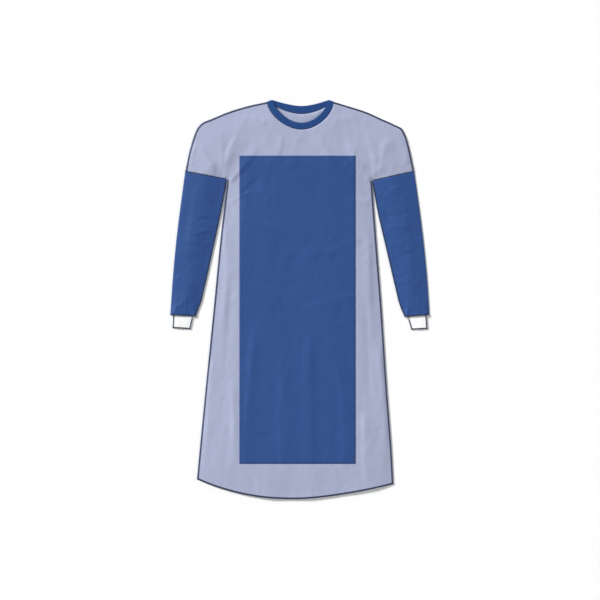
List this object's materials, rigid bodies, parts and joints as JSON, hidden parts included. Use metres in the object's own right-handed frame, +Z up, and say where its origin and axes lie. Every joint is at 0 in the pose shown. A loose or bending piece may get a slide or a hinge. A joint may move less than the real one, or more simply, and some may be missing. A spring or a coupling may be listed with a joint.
{
  "type": "surgical gown",
  "caption": "Long-sleeved wrap-back surgical gown laid flat with its front up, with a reinforced front, reinforced sleeves, knit cuffs and a bound neck.",
  "frame": {"origin": "on the surface that the gown lies on, under the middle of its bounding box", "axes": "+Y towards the neck, +X towards the wearer's left, +Z up out of the gown's front"},
  "size_m": [0.826, 1.2744, 0.0079],
  "materials": {
    "light_nonwoven": "matt light grey-blue nonwoven with a fine bonded dot pattern",
    "dark_nonwoven": "dark blue film-faced nonwoven with a low sheen",
    "neck_binding": "matt dark blue folded binding",
    "rib_knit": "soft white rib knit"
  },
  "bodies": {
    "root": {"front_panel": "light_nonwoven", "back_left": "light_nonwoven", "back_right": "light_nonwoven", "reinforcement": "dark_nonwoven", "sleeve_right": "dark_nonwoven", "sleeve_left": "dark_nonwoven", "neckband_front": "neck_binding", "neckband_back_right": "neck_binding", "neckband_back_left": "neck_binding", "cuff_right": "rib_knit", "cuff_left": "rib_knit"}
  },
  "joints": []
}
